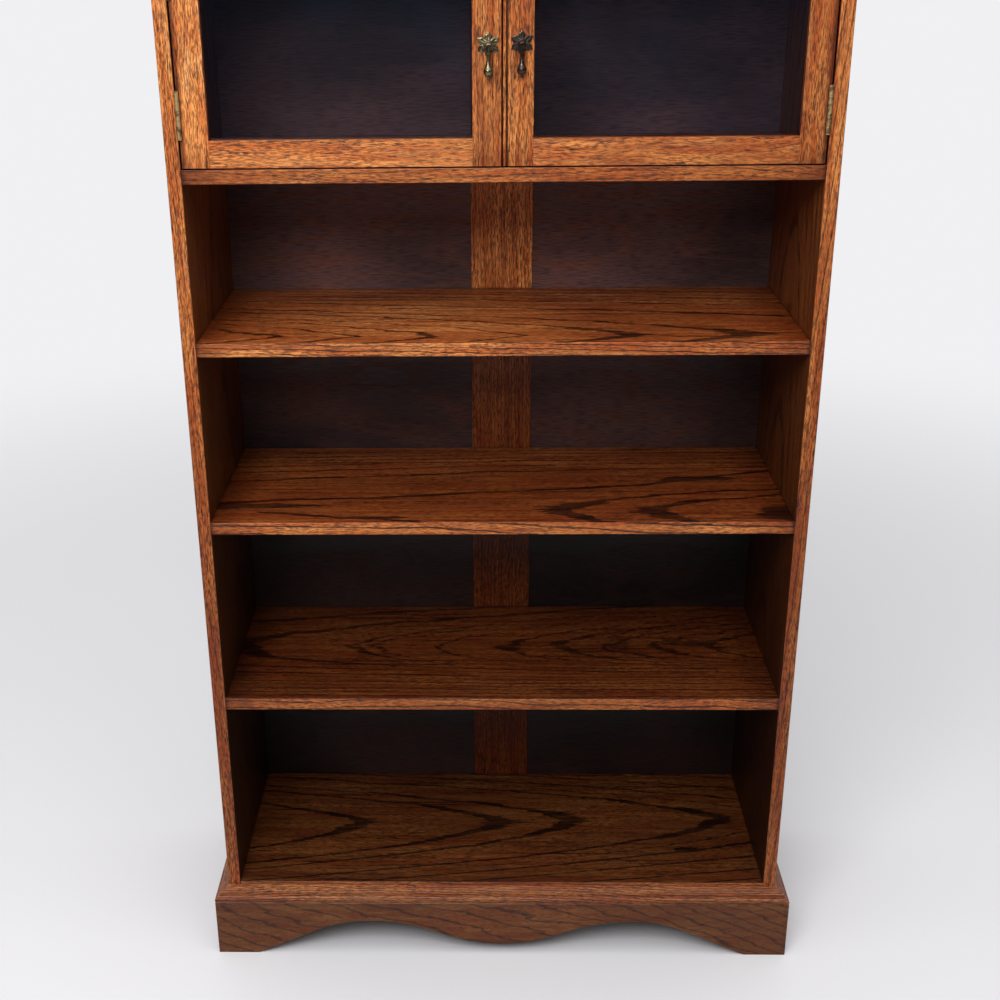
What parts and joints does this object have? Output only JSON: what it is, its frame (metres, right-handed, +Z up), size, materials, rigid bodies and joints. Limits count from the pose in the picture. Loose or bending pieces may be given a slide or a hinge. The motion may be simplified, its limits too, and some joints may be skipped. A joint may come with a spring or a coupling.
{
  "type": "bookcase with glass doors",
  "caption": "Free-standing oak bookcase with open shelves, a short glazed cupboard above them and an arched plinth with a small moulding.",
  "frame": {"origin": "middle of the footprint, on the floor", "axes": "+X to the right seen from the front, +Y to the back, +Z up; the doors face -Y"},
  "size_m": [0.7576, 0.2848, 1.3073],
  "materials": {
    "oak_side": "stained oak, waxed, dark open pores",
    "oak_top": "stained oak, waxed",
    "oak_shelf": "plain-sawn stained oak, waxed",
    "oak_door": "stained oak, waxed, worn a little at the edges",
    "oak_bead": "stained oak",
    "oak_muntin": "stained oak",
    "oak_plinth": "dark stained oak with long figure",
    "oak_moulding": "stained oak, bright worn arris",
    "back_plywood": "dark stained plywood",
    "softwood": "raw softwood",
    "door_glass": "clear, slightly wavy old sheet glass",
    "hinge_brass": "worn brass",
    "aged_brass": "aged olive brass, bright on the high spots",
    "catch_brass": "brass",
    "steel": "plain steel",
    "brass_screw": "slotted brass screws"
  },
  "bodies": {
    "case": {"side_left": "oak_side", "side_right": "oak_side", "top_board": "oak_top", "cupboard_floor": "oak_shelf", "shelf_upper": "oak_shelf", "shelf_middle": "oak_shelf", "shelf_lower": "oak_shelf", "bottom_board": "oak_shelf", "door_stop": "oak_bead", "back_muntin": "oak_muntin", "plinth_front": "oak_plinth", "plinth_left": "oak_plinth", "plinth_right": "oak_plinth", "plinth_moulding_front": "oak_moulding", "plinth_moulding_left": "oak_moulding", "plinth_moulding_right": "oak_moulding", "back_panel_left": "back_plywood", "back_panel_right": "back_plywood", "glue_blocks": "softwood", "top_dowels": "softwood", "hinge_leaves_fixed_left": "hinge_brass", "hinge_leaves_fixed_right": "hinge_brass", "hinge_pins_left": "hinge_brass", "hinge_pins_right": "hinge_brass", "catch_plate": "catch_brass", "back_panel_nails": "steel", "muntin_screws": "steel", "hinge_screws_fixed": "brass_screw"},
    "door_left": {"hinge_stile_left": "oak_door", "meeting_stile_left": "oak_door", "top_rail_left": "oak_door", "bottom_rail_left": "oak_door", "glass_left": "door_glass", "glazing_beads_left": "oak_bead", "hinge_leaves_moving_left": "hinge_brass", "hinge_screws_moving_left": "brass_screw", "pull_plate_left": "aged_brass", "pull_post_left": "aged_brass", "pull_pin_left": "aged_brass", "pull_nut_left": "aged_brass", "catch_barrel_left": "catch_brass"},
    "door_right": {"hinge_stile_right": "oak_door", "meeting_stile_right": "oak_door", "top_rail_right": "oak_door", "bottom_rail_right": "oak_door", "glass_right": "door_glass", "glazing_beads_right": "oak_bead", "hinge_leaves_moving_right": "hinge_brass", "hinge_screws_moving_right": "brass_screw", "pull_plate_right": "aged_brass", "pull_post_right": "aged_brass", "pull_pin_right": "aged_brass", "pull_nut_right": "aged_brass", "catch_barrel_right": "catch_brass"},
    "pull_drop_left": {"pull_drop_left": "aged_brass"},
    "pull_drop_right": {"pull_drop_right": "aged_brass"},
    "catch_ball_left": {"catch_ball_left": "steel"},
    "catch_ball_right": {"catch_ball_right": "steel"}
  },
  "joints": [
    {"name": "door_left_swing", "type": "hinge", "parent": "case", "child": "door_left", "pos_m": [-0.3437, -0.1274, 1.1638], "axis": [0, 0, -1], "range_deg": [0, 170]},
    {"name": "pull_left_swing", "type": "hinge", "parent": "door_left", "child": "pull_drop_left", "pos_m": [-0.0145, -0.1324, 1.1606], "axis": [-1, 0, 0], "range_deg": [-3, 85]},
    {"name": "catch_left_press", "type": "slide", "parent": "door_left", "child": "catch_ball_left", "axis": [0, 0, 1], "range_m": [-0.0012, 0], "stiffness_N_per_m": 10, "springref_m": 0.001},
    {"name": "door_right_swing", "type": "hinge", "parent": "case", "child": "door_right", "pos_m": [0.3437, -0.1274, 1.1638], "axis": [0, 0, 1], "range_deg": [0, 170]},
    {"name": "pull_right_swing", "type": "hinge", "parent": "door_right", "child": "pull_drop_right", "pos_m": [0.0204, -0.1324, 1.162], "axis": [-1, 0, 0], "range_deg": [-3, 85]},
    {"name": "catch_right_press", "type": "slide", "parent": "door_right", "child": "catch_ball_right", "axis": [0, 0, 1], "range_m": [-0.0012, 0], "stiffness_N_per_m": 10, "springref_m": 0.001}
  ]
}
